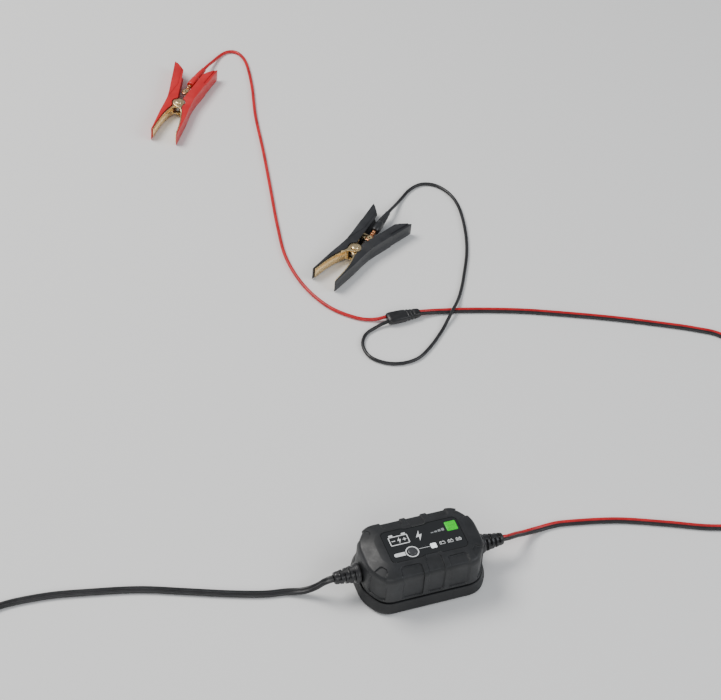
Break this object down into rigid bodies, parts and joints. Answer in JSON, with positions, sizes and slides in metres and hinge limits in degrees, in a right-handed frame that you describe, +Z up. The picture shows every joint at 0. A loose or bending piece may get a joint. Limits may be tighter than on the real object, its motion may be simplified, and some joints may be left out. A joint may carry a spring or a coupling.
{
  "type": "car battery charger",
  "caption": "Small sealed car battery charger with a mains cord and plug, and a DC lead that divides into a red and a black spring clamp.",
  "frame": {"origin": "on the floor under the middle of the case", "axes": "+X along the case towards the DC lead, +Y towards the back where the clamps lie, +Z up"},
  "size_m": [0.8538, 0.7248, 0.044],
  "materials": {
    "case_black": "fine moulded texture, slightly rubbery",
    "skirt_black": "fine moulded texture",
    "seal_rubber": "matt",
    "panel_gloss": "glossy with white printing",
    "button_rubber": "satin dome",
    "green_light": "lit diffuser",
    "white_light": "lit diffuser",
    "screw_steel": "zinc plated",
    "board_green": "solder mask",
    "ferrite_grey": "sintered",
    "copper_wire": "bare copper",
    "tape_yellow": "polyester tape",
    "can_blue": "shrink sleeve",
    "part_plastic": "moulded epoxy",
    "sink_aluminium": "extruded",
    "cord_black": "satin cord jacket",
    "cord_red": "satin cord jacket",
    "clamp_red": "satin moulded",
    "clamp_black": "satin moulded",
    "jaw_brass": "plated, light wear",
    "spring_steel": "drawn wire"
  },
  "bodies": {
    "charger": {"base_shell": "skirt_black", "black_boot": "clamp_black", "black_fixed_handle": "clamp_black", "black_fixed_jaw": "jaw_brass", "black_ring_terminal": "copper_wire", "black_rivet": "jaw_brass", "black_spring": "spring_steel", "black_terminal_rivet": "jaw_brass", "black_wire": "cord_black", "board_header": "part_plastic", "bridge_rectifier": "part_plastic", "case_screw_1": "screw_steel", "case_screw_2": "screw_steel", "case_screw_3": "screw_steel", "case_screw_4": "screw_steel", "charge_led": "white_light", "charge_light": "green_light", "choke": "copper_wire", "dc_coil_tie": "seal_rubber", "dc_lead_back": "cord_black", "dc_lead_coil": "cord_black", "dc_lead_out": "cord_black", "dc_strain_relief": "cord_black", "display_board": "board_green", "front_panel": "panel_gloss", "fuse": "sink_aluminium", "heat_sink": "sink_aluminium", "lead_splitter": "cord_black", "main_board": "board_green", "mains_capacitor": "can_blue", "mains_coil_tie": "seal_rubber", "mains_cord": "cord_black", "mains_cord_coil": "cord_black", "mains_cord_tail": "cord_black", "mains_strain_relief": "cord_black", "mode_led": "white_light", "mode_light": "white_light", "output_capacitor": "can_blue", "plug_blade_1": "jaw_brass", "plug_blade_2": "jaw_brass", "plug_body": "cord_black", "red_boot": "clamp_red", "red_fixed_handle": "clamp_red", "red_fixed_jaw": "jaw_brass", "red_ring_terminal": "copper_wire", "red_rivet": "jaw_brass", "red_spring": "spring_steel", "red_terminal_rivet": "jaw_brass", "red_wire": "cord_red", "seal_gasket": "seal_rubber", "switching_transistor": "part_plastic", "tactile_switch": "part_plastic", "top_shell": "case_black", "transformer_core": "ferrite_grey", "transformer_winding": "tape_yellow"},
    "red_jaw": {"red_moving_handle": "clamp_red", "red_moving_jaw": "jaw_brass"},
    "black_jaw": {"black_moving_handle": "clamp_black", "black_moving_jaw": "jaw_brass"},
    "button": {"mode_button": "button_rubber"}
  },
  "joints": [
    {"name": "mode_button_press", "type": "slide", "parent": "charger", "child": "button", "axis": [0, 0, -1], "range_m": [0, 0.0007], "stiffness_N_per_m": 600},
    {"name": "red_clamp_hinge", "type": "hinge", "parent": "charger", "child": "red_jaw", "pos_m": [-0.0227, 0.61, 0.007], "axis": [0, 0, -1], "range_deg": [-26, 21], "stiffness_Nm_per_rad": 0.3, "springref_deg": -68.75, "deforming": ["red_spring"]},
    {"name": "black_clamp_hinge", "type": "hinge", "parent": "charger", "child": "black_jaw", "pos_m": [0.076, 0.3658, 0.007], "axis": [0, 0, 1], "range_deg": [-26, 21], "stiffness_Nm_per_rad": 0.3, "springref_deg": -68.75, "deforming": ["black_spring"]}
  ]
}
